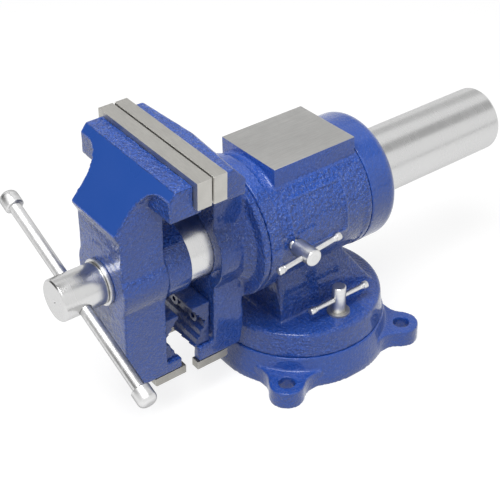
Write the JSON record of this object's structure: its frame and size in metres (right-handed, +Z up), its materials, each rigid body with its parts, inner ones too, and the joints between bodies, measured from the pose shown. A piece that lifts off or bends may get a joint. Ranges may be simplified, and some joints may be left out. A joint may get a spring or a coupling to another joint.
{
  "type": "swivel bench vise",
  "caption": "Multi-purpose bench vise with a swivel base, a turning head on a round ram, flat jaws above, pipe jaws below, an anvil and sliding T-handles.",
  "frame": {"origin": "the swivel axis at the bench, on the underside of the base", "axes": "+Z up along the swivel axis, +Y back along the spindle from the handle to the ram's free end, +X to the right as seen from the handle, at the swivel and head positions shown"},
  "size_m": [0.1933, 0.4456, 0.248],
  "materials": {
    "blue_enamel": "glossy blue enamel over rough cast iron, with ground faces on the anvil",
    "bright_steel": "bright turned and zinc plated steel",
    "ground_steel": "ground tool steel",
    "dark_steel": "oiled dark steel",
    "brass": "machined brass"
  },
  "bodies": {
    "base": {"base_plate": "blue_enamel"},
    "vise_body": {"body_casting": "blue_enamel", "pivot_bolt": "dark_steel", "pivot_washer": "dark_steel", "pivot_nut": "dark_steel", "swivel_clamp_nut": "dark_steel", "swivel_lock_washer": "bright_steel", "head_lock_plug": "brass"},
    "swivel_lock": {"swivel_lock_screw": "bright_steel"},
    "swivel_lock_tbar": {"swivel_lock_bar": "bright_steel", "swivel_lock_bar_caps": "bright_steel"},
    "head_lock": {"head_lock_screw": "bright_steel"},
    "head_lock_tbar": {"head_lock_bar": "bright_steel", "head_lock_bar_caps": "bright_steel"},
    "head": {"static_jaw": "blue_enamel", "rear_cap": "blue_enamel", "rear_cap_screws": "dark_steel", "nut_key": "dark_steel", "spindle_nut": "brass", "rear_jaw_plate": "ground_steel", "rear_plate_screws": "dark_steel", "static_pipe_jaw": "blue_enamel", "static_pipe_screws": "dark_steel", "static_foot_bars": "ground_steel", "static_foot_screws": "dark_steel"},
    "front_jaw": {"moving_jaw": "blue_enamel", "ram_tube": "bright_steel", "ram_end_cap": "dark_steel", "thrust_washer": "bright_steel", "front_jaw_plate": "ground_steel", "front_plate_screws": "dark_steel", "moving_pipe_jaw": "blue_enamel", "moving_pipe_screws": "dark_steel", "moving_foot_bars": "ground_steel", "moving_foot_screws": "dark_steel"},
    "screw": {"spindle": "bright_steel", "spindle_retainer": "dark_steel", "retainer_pin": "dark_steel"},
    "handle": {"handle_bar": "bright_steel", "handle_knobs": "bright_steel"}
  },
  "joints": [
    {"name": "swivel", "type": "hinge", "parent": "base", "child": "vise_body", "pos_m": [0, 0, 0.028], "axis": [0, 0, 1], "continuous": true},
    {"name": "head_turn", "type": "hinge", "parent": "vise_body", "child": "head", "pos_m": [0, 0, 0.1412], "axis": [0, 1, 0], "continuous": true},
    {"name": "jaw_slide", "type": "slide", "parent": "head", "child": "front_jaw", "axis": [0, -1, 0], "range_m": [-0.0008, 0.125]},
    {"name": "spindle_turn", "type": "hinge", "parent": "front_jaw", "child": "screw", "pos_m": [0, -0.2, 0.1412], "axis": [0, -1, 0], "range_deg": [-58, 9001]},
    {"name": "handle_slide", "type": "slide", "parent": "screw", "child": "handle", "axis": [0.9171, 0, -0.3987], "range_m": [-0.069, 0.069]},
    {"name": "head_lock_turn", "type": "hinge", "parent": "vise_body", "child": "head_lock", "pos_m": [0.07, -0.0483, 0.1412], "axis": [1, 0, 0], "range_deg": [-90, 90]},
    {"name": "head_lock_bar_slide", "type": "slide", "parent": "head_lock", "child": "head_lock_tbar", "axis": [0, -0.993, -0.1184], "range_m": [-0.016, 0.016]},
    {"name": "swivel_lock_turn", "type": "hinge", "parent": "vise_body", "child": "swivel_lock", "pos_m": [0.05198, 0.00145, 0.065], "axis": [0, 0, 1], "range_deg": [-16, 16]},
    {"name": "swivel_lock_bar_slide", "type": "slide", "parent": "swivel_lock", "child": "swivel_lock_tbar", "axis": [0, -1, 0], "range_m": [-0.016, 0.016]}
  ],
  "couplings": [
    {"joint": "spindle_turn", "follows": "jaw_slide", "rad_per_m": 1256.6}
  ]
}
